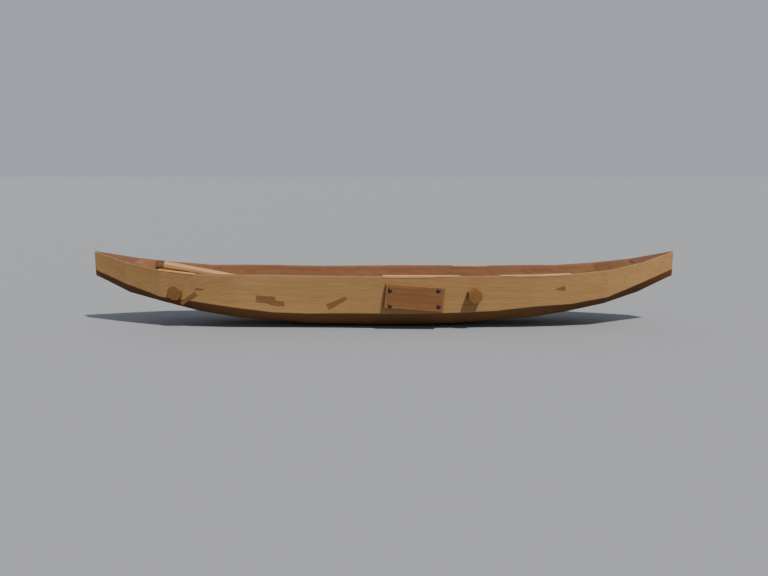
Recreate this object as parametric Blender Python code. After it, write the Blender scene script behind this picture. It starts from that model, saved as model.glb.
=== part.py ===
# Dugout canoe: one carved log with a repair board, rim slivers, branch stubs, crack wedges and a push pole.
# Metres, +Z up, +X forward. The origin is the middle of the narrow flat under the bottom.
import math

import bmesh
import bpy
from mathutils import Matrix, Vector

# Driving dimensions of the log
LENGTH = 5.0
STATION_STEP = LENGTH / 16
CHINE_SHARE = 0.92        # half-width at the chine, as a share of the half-beam
BILGE_SHARE = 0.56        # half-width where the bottom turns in again
FLAT_SHARE = 0.25         # half-width of the narrow flat
CHINE_EXTRA = 0.020       # how much thicker the wall is at the chine than at the rim
FLOOR_WALL = 0.060        # wood left under the feet
FLOOR_DISH = 0.012        # extra wood along the middle of the floor
INNER_CHINE_LIFT = 0.020  # how far the inner chine lies above the outer one
INNER_BILGE_SHARE = 0.75  # of the rim's wall, how far the inner bilge is set in from the outer one
HOLLOW_END = {"x": 2.155, "half_beam": 0.095, "depth": 0.008}   # the hollow's shallow edge at both ends
# Its last section below the rim: columns are shares of its half-beam and of its depth
HOLLOW_END_SHARES = [(0.9, 0.6), (0.7, 0.9), (0.4, 1.0)]
HOLLOW_RISE = 0.1         # how far the hollow's cutter reaches above the rim
CLEARANCE = 0.0003        # gap between pieces that touch

# Sections of the log, hand-hewn and so a little uneven.
# Columns: station, half_beam, sheer, chine, bilge, keel, wall at the rim
STATIONS = [
    (-8, 0.016, 0.622, 0.464, 0.415, 0.412, 0.016),
    (-7, 0.170, 0.546, 0.356, 0.278, 0.272, 0.065),
    (-6, 0.290, 0.496, 0.264, 0.205, 0.194, 0.052),
    (-5, 0.340, 0.465, 0.228, 0.129, 0.116, 0.045),
    (-4, 0.366, 0.463, 0.185, 0.079, 0.065, 0.042),
    (-3, 0.352, 0.461, 0.143, 0.051, 0.035, 0.038),
    (-2, 0.352, 0.454, 0.131, 0.023, 0.007, 0.038),
    (-1, 0.364, 0.454, 0.135, 0.020, 0.000, 0.038),
    (0, 0.390, 0.454, 0.138, 0.020, 0.000, 0.038),
    (1, 0.385, 0.456, 0.137, 0.021, 0.000, 0.038),
    (2, 0.376, 0.455, 0.143, 0.031, 0.015, 0.038),
    (3, 0.358, 0.455, 0.155, 0.055, 0.039, 0.038),
    (4, 0.361, 0.460, 0.192, 0.077, 0.063, 0.042),
    (5, 0.325, 0.465, 0.208, 0.127, 0.114, 0.045),
    (6, 0.284, 0.490, 0.259, 0.190, 0.180, 0.052),
    (7, 0.163, 0.541, 0.364, 0.282, 0.276, 0.065),
    (8, 0.016, 0.622, 0.470, 0.415, 0.411, 0.016),
]

# Repair board on the near side: the centre, size and tilt of its upright front, how deep its let-in back
# lies behind the front at its top and at its foot, and its left end's outward slant per metre of depth
PATCH = {"centre": (0.252, -0.4135, 0.2753), "length": 0.485, "height": 0.197, "tilt": -4.27,
         "top_depth": 0.047, "foot_depth": 0.072, "left_slant": 0.2}

# Nails: columns are the place on the board from its centre (along, up) and the length of the shank
NAILS = [(-0.207, 0.052, 0.070), (0.189, 0.079, 0.066), (-0.198, -0.0785, 0.090), (0.202, -0.054, 0.088)]
NAIL = {"head_radius": 0.0185, "head_height": 0.010, "shank_radius": 0.005, "point": 0.004, "sides": 12}
# Rounding of the head: columns are shares of its radius and of its height
NAIL_HEAD = [(1.0, 0.2), (0.8, 0.7), (0.4, 0.95), (0.0, 1.0)]
HOLE_SPARE = 0.001        # how much longer than its nail a nail hole is

# Slivers of new wood in the rim.
# Columns: name, side, start, end, rise at start and end, depth at start and end, more depth in the middle
RIM_STRIPS = [
    ("rim_strip_1", -1, -1.885, -1.567, 0.001, 0.002, 0.006, 0.008, 0.002),
    ("rim_strip_2", -1, -0.012, 0.625, 0.007, 0.001, 0.012, 0.003, 0.007),
    ("rim_strip_3", -1, 0.956, 1.552, 0.001, 0.002, 0.003, 0.006, 0.010),
    ("rim_strip_4", 1, 0.625, 0.935, 0.001, 0.003, 0.005, 0.015, 0.000),
]
STRIP_PROUD = 0.0012      # how far a sliver stands out of the rim's sides
STRIP_PIECES = 6          # straight lengths that a sliver's bent underside is made of
NOTCH_SPARE = 5           # sideways, a notch is this many times wider than its clearance
NOTCH_TOP = 0.05          # how far a notch's cutter reaches above the rim

# Branch stubs: columns are name, x, z, sides, turn in degrees, radius, proud
KNOT_STUBS = [
    ("knot_stub_1", -1.743, 0.305, 8, 22.5, 0.064, 0.030),
    ("knot_stub_2", 0.747, 0.295, 6, 30.0, 0.065, 0.070),
]
STUB_SUNK = 0.015
STUB_CHAMFER = 0.0015

# Wedges in the side.
# Columns: name, x, z, angle in degrees, length, width at the tail and at the head, proud
CRACK_WEDGES = [
    ("crack_wedge_1", -1.629, 0.258, 34.0, 0.170, 0.032, 0.036, 0.004),
    ("crack_wedge_3", -0.389, 0.231, 27.0, 0.176, 0.053, 0.027, 0.003),
    ("crack_wedge_4", -1.530, 0.341, -3.0, 0.072, 0.020, 0.007, 0.003),
    ("crack_wedge_5", 1.468, 0.345, 6.0, 0.080, 0.006, 0.040, 0.003),
]
# One wedge is stepped, where two checks meet: its outline runs anticlockwise from its lower left corner
STEPPED_WEDGE = {"name": "crack_wedge_2", "x": -0.945, "z": 0.245, "proud": 0.003, "outline": [
    (-0.124, -0.015), (-0.038, -0.021), (0.076, -0.050), (0.118, -0.050), (0.118, -0.007), (0.045, 0.001),
    (0.042, 0.032), (-0.118, 0.048)]}
WEDGE_SUNK = 0.014
WEDGE_CHAMFER = 0.0008
POCKET_TOP = 0.05         # how far a pocket's cutter reaches past its piece

# Push pole, hewn eight-sided, from its knob on the near rim down to the floor of the hollow
POLE_TOP = Vector((-1.840, -0.236, 0.5310))
POLE_FOOT = Vector((0.200, -0.040, 0.1027))
POLE = {"radius": 0.0365, "foot_radius": 0.0335, "sides": 8}
TENON = {"radius": 0.015, "length": 0.040}
# The knob lies level on the pole's end, a little above its axis
KNOB = {"radius": 0.0345, "length": 0.070, "round": 0.010, "rise": 0.003, "sides": 8, "overlap": 0.020}
# Rounding of the knob's end: columns are shares of the rounding, inwards and along
KNOB_END = [(0.0, 1.0), (0.3, 0.3), (1.0, 0.0)]

COLOURS = {
    "hull_wood": ((0.285, 0.155, 0.062), 0.75),
    "dark_wood": ((0.180, 0.078, 0.026), 0.72),
    "pale_wood": ((0.520, 0.330, 0.195), 0.68),
    "nail_iron": ((0.020, 0.022, 0.027), 0.45),
}


def clear_scene():
    for item in list(bpy.data.objects):
        bpy.data.objects.remove(item, do_unlink=True)


def make_material(name, finish):
    colour, roughness = COLOURS[finish]
    material = bpy.data.materials.new(name)
    material.use_nodes = True
    shader = material.node_tree.nodes["Principled BSDF"]
    shader.inputs["Base Color"].default_value = (*colour, 1.0)
    shader.inputs["Roughness"].default_value = roughness
    shader.inputs["Metallic"].default_value = 1.0 if finish == "nail_iron" else 0.0
    return material


def add_object(name, form, finish=None, place=None):
    """Makes an object from a bmesh. Without a finish it is a cutter, which isn't part of the canoe."""
    bmesh.ops.recalc_face_normals(form, faces=form.faces)
    mesh = bpy.data.meshes.new(name)
    form.to_mesh(mesh)
    form.free()
    item = bpy.data.objects.new(name, mesh)
    bpy.context.collection.objects.link(item)
    if place is not None:
        item.matrix_world = place
    if finish is None:
        item.hide_render = True
        item.display_type = "WIRE"
    else:
        mesh.materials.append(make_material(name, finish))
    return item


def cut(item, cutter):
    boolean = item.modifiers.new("cut_" + cutter.name, "BOOLEAN")
    boolean.operation = "DIFFERENCE"
    boolean.solver = "EXACT"
    boolean.object = cutter


def loft(rings):
    """Skins closed rings of equal length and caps the first and the last."""
    form = bmesh.new()
    rows = [[form.verts.new(point) for point in ring] for ring in rings]
    count = len(rows[0])
    for row, following in zip(rows, rows[1:]):
        for i in range(count):
            j = (i + 1) % count
            form.faces.new((row[i], row[j], following[j], following[i]))
    form.faces.new(rows[0])
    form.faces.new(rows[-1])
    return form


def turned(profile, sides):
    """Turns a profile of (radius, height) pairs about local Z; a radius of 0 is a pole."""
    form = bmesh.new()
    rows = []
    for radius, height in profile:
        if radius == 0:
            rows.append([form.verts.new((0, 0, height))])
            continue
        ring = []
        for i in range(sides):
            angle = 2 * math.pi * (i + 0.5) / sides
            ring.append(form.verts.new((radius * math.cos(angle), radius * math.sin(angle), height)))
        rows.append(ring)
    for row, following in zip(rows, rows[1:]):
        for i in range(sides):
            j = (i + 1) % sides
            corners = []
            for ring, k in ((row, i), (row, j), (following, j), (following, i)):
                vert = ring[k % len(ring)]
                if vert not in corners:
                    corners.append(vert)
            form.faces.new(corners)
    return form


def section(x):
    """Half-beam, sheer, chine, bilge, keel and rim wall at x, straight between stations."""
    place = min(max(x / STATION_STEP, STATIONS[0][0]), STATIONS[-1][0])
    index = min(int(math.floor(place)) - STATIONS[0][0], len(STATIONS) - 2)
    share = place - STATIONS[index][0]
    low = STATIONS[index][1:]
    high = STATIONS[index + 1][1:]
    return [a + (b - a) * share for a, b in zip(low, high)]


def side_point(x, z, side=-1):
    """Point on the outside of the side, between the rim and the chine."""
    half_beam, sheer, chine = section(x)[:3]
    share = (sheer - z) / (sheer - chine)
    return Vector((x, side * half_beam * (1 - (1 - CHINE_SHARE) * share), z))


def side_place(x, z, tilt, reach=0.05):
    """Matrix on the near side: local X along the hull, local Y up the side, local Z outwards."""
    along = (side_point(x + reach, z) - side_point(x - reach, z)).normalized()
    up = (side_point(x, z + reach) - side_point(x, z - reach)).normalized()
    outwards = along.cross(up).normalized()
    up = outwards.cross(along)
    turn = Matrix((along, up, outwards)).transposed().to_4x4()
    return Matrix.Translation(side_point(x, z)) @ turn @ Matrix.Rotation(math.radians(tilt), 4, "Z")


def grown(outline, gap):
    """The anticlockwise outline with every edge moved outwards by gap."""
    corners = [Vector(point) for point in outline]
    result = []
    for i, corner in enumerate(corners):
        before = (corner - corners[i - 1]).normalized()
        after = (corners[(i + 1) % len(corners)] - corner).normalized()
        normal = Vector((before.y + after.y, -before.x - after.x)).normalized()
        result.append(corner + normal * gap / normal.dot(Vector((after.y, -after.x))))
    return result


def prism(outline, low, high, chamfer=0.0):
    """Prism over a flat outline, from low to high in local Z, with an optional chamfer round its top."""
    rings = [[(*p, low) for p in outline], [(*p, high - chamfer) for p in outline]]
    if chamfer:
        rings.append([(*p, high) for p in grown(outline, -chamfer)])
    return loft(rings)


def bar_outline(length, tail, head):
    half = length / 2
    return [(-half, -tail / 2), (half, -head / 2), (half, head / 2), (-half, tail / 2)]


def polygon_outline(radius, sides, turn):
    angles = [math.radians(turn) + 2 * math.pi * i / sides for i in range(sides)]
    return [(radius * math.cos(angle), radius * math.sin(angle)) for angle in angles]


def let_in(name, outline, place, hull, sunk, proud, chamfer):
    """A piece let into the hull's side, in a pocket of its own."""
    piece = add_object(name, prism(outline, -sunk, proud, chamfer), "dark_wood", place)
    pocket = prism(grown(outline, CLEARANCE), -sunk - CLEARANCE, proud + POCKET_TOP)
    cut(hull, add_object("pocket_" + name, pocket, None, place))
    return piece


def outer_ring(row):
    station, half_beam, sheer, chine, bilge, keel, _ = row
    x = station * STATION_STEP
    half = [(half_beam, sheer), (half_beam * CHINE_SHARE, chine), (half_beam * BILGE_SHARE, bilge),
            (half_beam * FLAT_SHARE, keel)]
    return [(x, -y, z) for y, z in half] + [(x, y, z) for y, z in reversed(half)]


def cutter_ring(x, rim, lower):
    """Section of the hollow's cutter: its wall runs straight on above the rim, clear of the rim's plane."""
    (wide, sheer), (y, z) = rim, lower[0]
    slope = (wide - y) / (sheer - z)
    half = [(wide + slope * HOLLOW_RISE, sheer + HOLLOW_RISE)] + lower
    return [(x, -y, z) for y, z in half] + [(x, y, z) for y, z in reversed(half)]


def inner_ring(x):
    half_beam, sheer, chine, bilge, keel, wall = section(x)
    return cutter_ring(x, (half_beam - wall, sheer), [
        (half_beam * CHINE_SHARE - wall - CHINE_EXTRA, chine + INNER_CHINE_LIFT),
        (half_beam * BILGE_SHARE - INNER_BILGE_SHARE * wall, bilge + FLOOR_WALL),
        (half_beam * FLAT_SHARE, keel + FLOOR_WALL + FLOOR_DISH)])


def end_ring(x):
    """The small last section where the hollow runs out into the solid end."""
    sheer = section(x)[1]
    wide = HOLLOW_END["half_beam"]
    deep = HOLLOW_END["depth"]
    lower = [(across * wide, sheer - down * deep) for across, down in HOLLOW_END_SHARES]
    return cutter_ring(x, (wide, sheer), lower)


def make_hull():
    hull = add_object("hull", loft([outer_ring(row) for row in STATIONS]), "hull_wood")
    rings = [inner_ring(k * STATION_STEP) for k in range(-6, 7)]
    rings = [end_ring(-HOLLOW_END["x"])] + rings + [end_ring(HOLLOW_END["x"])]
    cut(hull, add_object("hollow", loft(rings)))
    return hull


def patch_block(gap):
    """The repair board, or with a gap its pocket: front upright, back in line with the hull's side."""
    outline = bar_outline(PATCH["length"], PATCH["height"], PATCH["height"])
    middle = (PATCH["top_depth"] + PATCH["foot_depth"]) / 2
    lean = (PATCH["top_depth"] - PATCH["foot_depth"]) / PATCH["height"]
    front = [(*point, 0) for point in grown(outline, gap)]
    back = []
    for x, y, _ in front:
        depth = middle + lean * y + gap
        back.append((x - PATCH["left_slant"] * depth if x < 0 else x, y, -depth))
    return loft([back, front])


def make_patch(hull):
    turn = Matrix(((1, 0, 0), (0, 0, -1), (0, 1, 0))).to_4x4()     # local Z points out of the near side
    place = Matrix.Translation(PATCH["centre"]) @ turn @ Matrix.Rotation(math.radians(PATCH["tilt"]), 4, "Z")
    board = add_object("repair_patch", patch_block(0), "dark_wood", place)
    cut(hull, add_object("pocket_repair_patch", patch_block(CLEARANCE), None, place))
    shank = NAIL["shank_radius"]
    bore = shank + CLEARANCE
    for number, (along, up, length) in enumerate(NAILS, 1):
        spot = place @ Matrix.Translation((along, up, 0))
        profile = [(0, -length), (shank, -length + NAIL["point"]), (shank, CLEARANCE),
                   (NAIL["head_radius"], CLEARANCE)]
        profile += [(NAIL["head_radius"] * wide, NAIL["head_height"] * high) for wide, high in NAIL_HEAD]
        add_object("patch_nail_%d" % number, turned(profile, NAIL["sides"]), "nail_iron", spot)
        end = -length - HOLE_SPARE
        profile = [(0, end), (bore, end), (bore, NAIL["head_height"]), (0, NAIL["head_height"])]
        hole = add_object("nail_hole_%d" % number, turned(profile, NAIL["sides"]), None, spot)
        cut(board, hole)
        cut(hull, hole)


def make_rim_strips(hull):
    for name, side, start, end, rise_0, rise_1, depth_0, depth_1, belly in RIM_STRIPS:
        piece = (end - start) / STRIP_PIECES
        places = [start + k * piece for k in range(STRIP_PIECES)] + [end]
        stations = [row[0] * STATION_STEP for row in STATIONS if start < row[0] * STATION_STEP < end]
        for x in stations:                                   # the nearest cut moves to the station
            places[min(range(1, STRIP_PIECES), key=lambda k: abs(places[k] - x))] = x

        def ring(x, grow, open_top):
            share = (x - start) / (end - start)
            half_beam, sheer, *_, wall = section(x)
            top = sheer + (open_top or rise_0 + (rise_1 - rise_0) * share)
            depth = depth_0 + (depth_1 - depth_0) * share + belly * 4 * share * (1 - share)
            low = sheer - depth - grow
            outer = side * (half_beam + STRIP_PROUD + NOTCH_SPARE * grow)
            inner = side * (half_beam - wall - STRIP_PROUD - NOTCH_SPARE * grow)
            place = x - grow if x == start else x + grow if x == end else x
            return [(place, outer, top), (place, outer, low), (place, inner, low), (place, inner, top)]

        add_object(name, loft([ring(x, 0.0, None) for x in places]), "pale_wood")
        cut(hull, add_object("notch_" + name, loft([ring(x, CLEARANCE, NOTCH_TOP) for x in places])))


def make_stubs_and_wedges(hull):
    for name, x, z, sides, turn, radius, proud in KNOT_STUBS:
        outline = polygon_outline(radius, sides, turn)
        let_in(name, outline, side_place(x, z, 0), hull, STUB_SUNK, proud, STUB_CHAMFER)
    for name, x, z, angle, length, tail, head, proud in CRACK_WEDGES:
        outline = bar_outline(length, tail, head)
        let_in(name, outline, side_place(x, z, angle), hull, WEDGE_SUNK, proud, WEDGE_CHAMFER)
    spot = side_place(STEPPED_WEDGE["x"], STEPPED_WEDGE["z"], 0)
    let_in(STEPPED_WEDGE["name"], STEPPED_WEDGE["outline"], spot, hull, WEDGE_SUNK, STEPPED_WEDGE["proud"],
           WEDGE_CHAMFER)


def aimed(start, direction):
    """Matrix at the start with local Z along the direction and local Y as far up as it goes."""
    return Matrix.Translation(start) @ direction.to_track_quat("Z", "Y").to_matrix().to_4x4()


def make_pole():
    run = POLE_FOOT - POLE_TOP
    place = aimed(POLE_TOP, run)
    profile = [(0, -TENON["length"]), (TENON["radius"], -TENON["length"]), (TENON["radius"], 0),
               (POLE["radius"], 0), (POLE["foot_radius"], run.length), (0, run.length)]
    add_object("push_pole", turned(profile, POLE["sides"]), "pale_wood", place)
    level = aimed(POLE_TOP + Vector((0, 0, KNOB["rise"])), Vector((-run.x, -run.y, 0)))
    soft = KNOB["round"]
    profile = [(0, -KNOB["overlap"]), (KNOB["radius"], -KNOB["overlap"])]
    for inwards, along in KNOB_END:
        profile.append((KNOB["radius"] - soft * inwards, KNOB["length"] - soft * along))
    profile.append((0, KNOB["length"]))
    knob = add_object("pole_knob", turned(profile, KNOB["sides"]), "dark_wood", level)
    wide = 2 * KNOB["radius"]
    bore = TENON["radius"] + CLEARANCE
    deep = -TENON["length"] - CLEARANCE
    profile = [(0, deep), (bore, deep), (bore, -CLEARANCE), (wide, -CLEARANCE), (wide, wide), (0, wide)]
    cut(knob, add_object("knob_seat", turned(profile, POLE["sides"]), None, place))


clear_scene()
log = make_hull()
make_patch(log)
make_rim_strips(log)
make_stubs_and_wedges(log)
make_pole()
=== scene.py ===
import math
import random

import bmesh
import bpy
import numpy as np
from mathutils import Matrix, Vector, noise


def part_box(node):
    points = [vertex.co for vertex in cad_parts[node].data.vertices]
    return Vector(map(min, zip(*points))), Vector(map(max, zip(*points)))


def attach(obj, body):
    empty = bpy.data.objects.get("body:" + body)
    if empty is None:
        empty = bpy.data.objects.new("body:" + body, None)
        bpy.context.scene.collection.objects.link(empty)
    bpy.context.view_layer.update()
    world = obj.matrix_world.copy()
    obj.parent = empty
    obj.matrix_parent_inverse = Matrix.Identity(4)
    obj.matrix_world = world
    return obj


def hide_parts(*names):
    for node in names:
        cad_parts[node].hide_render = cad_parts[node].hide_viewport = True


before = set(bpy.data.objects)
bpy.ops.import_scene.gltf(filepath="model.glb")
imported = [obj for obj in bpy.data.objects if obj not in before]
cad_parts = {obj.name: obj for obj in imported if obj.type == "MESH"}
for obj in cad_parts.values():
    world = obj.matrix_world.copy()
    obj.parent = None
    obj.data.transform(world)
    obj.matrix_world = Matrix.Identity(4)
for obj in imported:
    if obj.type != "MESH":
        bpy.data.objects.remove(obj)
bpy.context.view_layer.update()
print("frame loaded:", len(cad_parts), "solids")


# Node helpers, for shader trees and geometry trees alike

def feed(socket, value):
    if isinstance(value, bpy.types.NodeSocket):
        socket.id_data.links.new(value, socket)
    else:
        socket.default_value = value


def place(kind, inputs=None, tree=None, **properties):
    # inputs are named or numbered, and each is a value or the socket that feeds it
    # the node joins the first socket's tree, unless it is told which tree
    inputs = inputs or {}
    sockets = [value for value in inputs.values() if isinstance(value, bpy.types.NodeSocket)]
    item = (tree or sockets[0].id_data).nodes.new(kind)
    for key, value in properties.items():
        setattr(item, key, value)
    for key, value in inputs.items():
        feed(item.inputs[key], value)
    return item.outputs


def calc(operation, a, b=0.0):
    return place("ShaderNodeMath", {0: a, 1: b}, operation=operation)[0]


def product(first, *others):
    for other in others:
        first = calc("MULTIPLY", first, other)
    return first


def total(a, b):
    return calc("ADD", a, b)


def split(vector):
    return place("ShaderNodeSeparateXYZ", {0: vector})


def combine(x, y, z=0.0):
    return place("ShaderNodeCombineXYZ", {0: x, 1: y, 2: z})[0]


def stretch(vector, factors):
    return place("ShaderNodeVectorMath", {0: vector, 1: factors}, operation="MULTIPLY")[0]


def resize(vector, factor):
    return place("ShaderNodeVectorMath", {0: vector, "Scale": factor}, operation="SCALE")[0]


def cloud(vector, scale, detail=2.0, roughness=0.5):
    inputs = {"Vector": vector, "Scale": scale, "Detail": detail, "Roughness": roughness}
    return place("ShaderNodeTexNoise", inputs)[0]


def ease(value, low, high, start=0.0, end=1.0):
    inputs = {"Value": value, "From Min": low, "From Max": high, "To Min": start, "To Max": end}
    return place("ShaderNodeMapRange", inputs, interpolation_type="SMOOTHSTEP")[0]


def mixColour(share, a, b, kind="MIX"):
    return place("ShaderNodeMix", {0: share, 6: a, 7: b}, data_type="RGBA", blend_type=kind)[2]


def attribute(tree, name, output="Fac"):
    return place("ShaderNodeAttribute", tree=tree, attribute_name=name)[output]


def bump(height, strength, distance):
    return place("ShaderNodeBump", {"Height": height, "Strength": strength, "Distance": distance})[0]


def newGroup(name, values, outputs):
    # a shader group with a Vector input, then its named values
    tree = bpy.data.node_groups.new(name, "ShaderNodeTree")
    tree.interface.new_socket("Vector", in_out="INPUT", socket_type="NodeSocketVector")
    for label, value in values.items():
        socket = tree.interface.new_socket(label, in_out="INPUT", socket_type="NodeSocketFloat")
        socket.default_value = value
    for label in outputs:
        tree.interface.new_socket(label, in_out="OUTPUT", socket_type="NodeSocketFloat")
    return tree, tree.nodes.new("NodeGroupInput").outputs, tree.nodes.new("NodeGroupOutput").inputs


# Noise drawn out along the grain: its scale along it, its scale across it, detail, roughness
streakKinds = {
    "ringWobble": (0.7, 3.0, 3.0, 0.5),
    "fineFibres": (9.0, 260.0, 4.0, 0.6),
    "coarseFibres": (2.0, 45.0, 3.0, 0.55),
    "crackBend": (5.0, 2.0, 3.0, 0.5),
    "wearPatches": (6.0, 14.0, 4.0, 0.6),
    "dustPatches": (3.0, 7.0, 5.0, 0.62),
    "pieceBlotches": (4.0, 12.0, 3.0, 0.5),
    "hullBlotches": (1.1, 5.0, 4.0, 0.5),
    "raggedLines": (9.0, 30.0, 4.0, 0.5),
}


def streaks(vector, kind):
    along, across, detail, roughness = streakKinds[kind]
    return cloud(stretch(vector, (along, across, across)), 1.0, detail, roughness)


def pithGap(vector):
    # the distance from the pith, which is the X axis of the grain's own frame
    across = stretch(vector, (0.0, 1.0, 1.0))
    return place("ShaderNodeVectorMath", {0: across}, operation="LENGTH")["Value"]


# Shader groups that several woods use

marks = {  # a fade is where a mask starts and where it is full
    "earlyFade": (0.15, 0.9), "lateFade": (0.92, 1.0), "fineShare": 0.55, "coarseShare": 0.45,
    "fibreRelief": 0.7, "ringRelief": -0.3, "crackBend": 0.03, "bendReach": 0.10, "planeStep": 7.31,
    "openFrom": 0.78, "openGain": 0.4, "openFade": 0.15, "leastOpen": 0.02, "leastWidth": 1e-5,
    "wearFade": (0.35, 0.62), "facingFade": (0.55, 0.98), "dustFade": (0.38, 0.72), "blotchFade": (0.3, 0.7),
}


def makeLogGrain():
    # growth rings round the pith and fibres along it
    tree, given, out = newGroup("logGrain", {"Ring Spacing": 0.012, "Ring Wobble": 0.02, "Fibre Scale": 1.0},
                                ["Rings", "Fibres", "Height"])
    wobble = product(streaks(given["Vector"], "ringWobble"), given["Ring Wobble"])
    count = calc("DIVIDE", total(pithGap(given["Vector"]), wobble), given["Ring Spacing"])
    share = calc("FRACT", count)
    early = ease(share, *marks["earlyFade"])  # a ring darkens slowly towards its late wood
    late = ease(share, *marks["lateFade"], 1.0, 0.0)  # and ends at once
    rings = product(early, late)
    scaled = resize(given["Vector"], given["Fibre Scale"])
    fine = product(streaks(scaled, "fineFibres"), marks["fineShare"])
    coarse = product(streaks(scaled, "coarseFibres"), marks["coarseShare"])
    fibres = total(fine, coarse)
    feed(out["Rings"], rings)
    feed(out["Fibres"], fibres)
    feed(out["Height"], total(product(fibres, marks["fibreRelief"]), product(rings, marks["ringRelief"])))
    return tree


def makeSeasonChecks():
    # drying cracks: they lie in planes through the pith, run with the grain and close up towards their ends
    sizes = {"Length": 0.35, "Spread": 0.15, "Width": 0.0015, "Amount": 0.5}
    tree, given, out = newGroup("seasonChecks", sizes, ["Mask"])
    parts = split(given["Vector"])
    reach = pithGap(given["Vector"])
    bend = product(streaks(given["Vector"], "crackBend"), marks["crackBend"])
    bend = calc("DIVIDE", bend, total(reach, marks["bendReach"]))
    turn = total(calc("ARCTAN2", parts[2], parts[1]), bend)
    count = calc("DIVIDE", turn, given["Spread"])
    gap = calc("ABSOLUTE", calc("SUBTRACT", calc("FRACT", count), 0.5))
    gap = product(gap, given["Spread"], reach)
    along = calc("DIVIDE", parts[0], given["Length"])
    own = product(calc("FLOOR", count), marks["planeStep"])  # so each plane has its own noise
    kept = cloud(combine(along, own), 1.0, 1.0)
    low = calc("SUBTRACT", marks["openFrom"], product(given["Amount"], marks["openGain"]))
    opened = ease(kept, low, total(low, marks["openFade"]))
    half = calc("MAXIMUM", product(opened, given["Width"]), marks["leastWidth"])
    isOpen = calc("GREATER_THAN", opened, marks["leastOpen"])
    feed(out["Mask"], product(ease(gap, 0.0, half, 1.0, 0.0), isOpen))
    return tree


def makeHandWear():
    # rubbed edges: the edge attribute, broken up
    tree, given, out = newGroup("handWear", {"Edge": 0.0, "Amount": 0.5}, ["Mask"])
    patches = streaks(given["Vector"], "wearPatches")
    lifted = total(patches, calc("SUBTRACT", given["Amount"], 0.5))
    feed(out["Mask"], product(given["Edge"], ease(lifted, *marks["wearFade"])))
    return tree


def makeSettledDust():
    # dust on what faces up, thicker in patches
    tree, given, out = newGroup("settledDust", {"Amount": 0.5}, ["Mask"])
    upward = split(place("ShaderNodeNewGeometry", tree=tree)["Normal"])[2]
    flat = ease(upward, *marks["facingFade"])
    patches = ease(streaks(given["Vector"], "dustPatches"), *marks["dustFade"])
    feed(out["Mask"], product(flat, patches, given["Amount"]))
    return tree


groups = {
    "logGrain": makeLogGrain(), "seasonChecks": makeSeasonChecks(),
    "handWear": makeHandWear(), "settledDust": makeSettledDust(),
}
print("shader groups ready:", *groups)


# Woods

woodCommon = {  # for every wood whose look has no value of its own
    "pith": (0.0, 0.0), "ringSpacing": 0.008, "ringWobble": 0.02, "ringTone": 0.3, "ringShade": 0.55,
    "fibreScale": 1.0, "fibreTone": 0.35, "fibreShade": 0.72, "fibreRange": (0.38, 0.62), "fibreRough": 0.12,
    "checks": 0.6, "checkWidth": 0.0008, "crackShare": 0.85, "crackShade": 0.2, "crackDepth": 2.5,
    "wear": 0.5, "wornShare": 0.6, "wearPolish": 0.14, "blotchTones": (0.93, 1.07),
    "dust": 0.2, "dustShare": 0.5, "dustColour": (0.36, 0.31, 0.25), "dustRough": 0.15,
    "bump": 0.7, "bumpDistance": 0.0006, "sheen": 0.2,
}


def useGroup(name, inputs):
    return place("ShaderNodeGroup", inputs, node_tree=groups[name])


def newMaterial(name):
    material = bpy.data.materials.new(name)
    material.use_nodes = True
    tree = material.node_tree
    return material, tree, tree.nodes["Principled BSDF"].inputs


def rgba(colour, factor=1.0):
    return (*[channel * factor for channel in colour], 1.0)


def woodMasks(tree, look):
    # the piece's own grain frame, with its X axis moved to the pith, and what the shared groups make of it
    source = attribute(tree, "grainSpace", "Vector")
    space = place("ShaderNodeMapping", {"Vector": source, "Location": -Vector((0.0, *look["pith"]))})[0]
    grain = useGroup("logGrain", {
        "Vector": space, "Ring Spacing": look["ringSpacing"], "Ring Wobble": look["ringWobble"],
        "Fibre Scale": look["fibreScale"]})
    checks = useGroup("seasonChecks", {
        "Vector": space, "Length": look["checkLength"], "Spread": look["checkSpread"],
        "Width": look["checkWidth"], "Amount": look["checks"]})["Mask"]
    wear = useGroup("handWear", {
        "Vector": space, "Edge": attribute(tree, "edge"), "Amount": look["wear"]})["Mask"]
    dust = useGroup("settledDust", {"Vector": space, "Amount": look["dust"]})["Mask"]
    return space, {"rings": grain["Rings"], "fibres": grain["Fibres"], "height": grain["Height"],
                   "checks": checks, "wear": wear, "dust": dust, "dustFilm": dust}


def finishWood(tree, shader, look, masks, base, ringColour, fibreColour, crackColour):
    # lays the grain, the wear, the cracks and the dust over the base colour, and adds roughness and relief
    layers = [
        (product(masks["rings"], look["ringTone"]), ringColour),
        (ease(masks["fibres"], *look["fibreRange"], look["fibreTone"], 0.0), fibreColour),
        (product(masks["wear"], look["wornShare"]), rgba(look["worn"])),
        (product(masks["checks"], look["crackShare"]), crackColour),
        (product(masks["dustFilm"], look["dustShare"]), rgba(look["dustColour"])),
    ]
    for mask, colour in layers:
        base = mixColour(mask, base, colour)
    # painted shade: a look can darken the faces its attribute marks, here the knob's upward faces
    if "grime" in look:
        base = mixColour(attribute(tree, "grime"), base, rgba(look["grime"]), "MULTIPLY")
    feed(shader["Base Color"], base)
    rough = total(product(masks["fibres"], look["fibreRough"]), look["roughness"])
    rough = calc("SUBTRACT", rough, product(masks["wear"], look["wearPolish"]))
    feed(shader["Roughness"], total(rough, product(masks["dust"], look["dustRough"])))
    height = calc("SUBTRACT", masks["height"], product(masks["checks"], look["crackDepth"]))
    feed(shader["Normal"], bump(height, look["bump"], look["bumpDistance"]))
    feed(shader["Specular IOR Level"], look["sheen"])


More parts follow.
